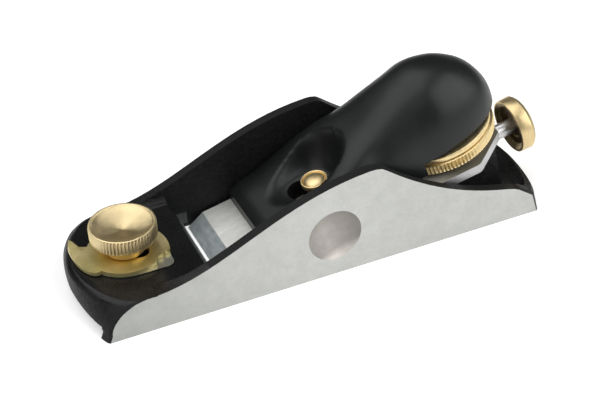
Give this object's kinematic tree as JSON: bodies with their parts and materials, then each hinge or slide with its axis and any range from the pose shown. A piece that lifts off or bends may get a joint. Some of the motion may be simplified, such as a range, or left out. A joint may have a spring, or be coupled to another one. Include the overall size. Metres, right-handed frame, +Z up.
{
  "type": "hand plane",
  "caption": "Low-angle block plane with sliding toe piece, knurled front knob, domed lever cap, locking wheel and screw adjuster",
  "frame": {"origin": "on the flat underside of the sole, on its middle line, below the finger recesses", "axes": "+X runs from toe to heel, +Z points up from the sole, +Y completes the right-handed frame"},
  "size_m": [0.164, 0.049, 0.0526],
  "materials": {
    "cast_black": "black enamel on the casting, cheeks and sole ground bright",
    "cap_black": "satin black enamel",
    "ground_iron": "ground",
    "blade_steel": "ground lengthwise",
    "brass": "turned and knurled",
    "stainless": "polished",
    "steel": "machined",
    "dark_steel": "blackened"
  },
  "bodies": {
    "body": {"body_casting": "cast_black", "lever_pin": "steel"},
    "toe": {"toe_piece": "ground_iron", "toe_stud": "steel"},
    "mouth_lever": {"eccentric_lever": "brass"},
    "front_knob_body": {"front_knob": "brass"},
    "adjuster_pivot": {"pivot_post": "steel"},
    "adjuster": {"adjuster_spindle": "stainless", "spindle_collar": "steel", "spindle_clip": "dark_steel", "adjuster_knob": "brass", "knob_grub_screw": "dark_steel"},
    "carriage": {"blade_carriage": "brass", "drive_pin": "steel"},
    "blade_body": {"blade": "blade_steel"},
    "cap": {"lever_cap": "cap_black", "wheel_stud": "steel", "thrust_washer": "steel"},
    "lock_wheel_body": {"lock_wheel": "brass"},
    "cap_screw_body": {"cap_screw": "brass"}
  },
  "joints": [
    {"name": "lever_swing", "type": "hinge", "parent": "body", "child": "mouth_lever", "pos_m": [-0.0545, 0.0069, 0.013], "axis": [0, 0, -1], "range_deg": [0, 34]},
    {"name": "mouth_slide", "type": "slide", "parent": "body", "child": "toe", "axis": [-1, 0, 0], "range_m": [0, 0.0022]},
    {"name": "front_knob_turn", "type": "hinge", "parent": "toe", "child": "front_knob_body", "pos_m": [-0.0602, 0, 0.02], "axis": [0, 0, 1], "continuous": true},
    {"name": "lateral_swing", "type": "hinge", "parent": "body", "child": "adjuster_pivot", "pos_m": [0.05779, 0, 0.01432], "axis": [-0.2079, 0, 0.9781], "range_deg": [-2, 2]},
    {"name": "adjuster_turn", "type": "hinge", "parent": "adjuster_pivot", "child": "adjuster", "pos_m": [0.07687, 0, 0.01837], "axis": [0.9781, 0, 0.2079], "range_deg": [-180, 900]},
    {"name": "blade_feed", "type": "slide", "parent": "adjuster_pivot", "child": "carriage", "axis": [0.9781, 0, 0.2079], "range_m": [-0.0004, 0.002]},
    {"name": "blade_yaw", "type": "hinge", "parent": "carriage", "child": "blade_body", "pos_m": [0.04402, 0, 0.01661], "axis": [-0.2079, 0, 0.9781], "range_deg": [-2.8, 2.8]},
    {"name": "cap_slide", "type": "slide", "parent": "body", "child": "cap", "axis": [0.9781, 0, 0.2079], "range_m": [0, 0.0046]},
    {"name": "wheel_turn", "type": "hinge", "parent": "cap", "child": "lock_wheel_body", "pos_m": [0.04947, 0, 0.02364], "axis": [-0.309, 0, 0.9511], "continuous": true},
    {"name": "cap_screw_turn", "type": "hinge", "parent": "body", "child": "cap_screw_body", "pos_m": [0.00665, 0, 0.00866], "axis": [-0.2079, 0, 0.9781], "continuous": true}
  ],
  "couplings": [
    {"joint": "lever_swing", "follows": "mouth_slide", "rad_per_m": 269.73},
    {"joint": "adjuster_turn", "follows": "blade_feed", "rad_per_m": 7853.9},
    {"joint": "blade_yaw", "follows": "lateral_swing", "ratio": -1.34}
  ]
}
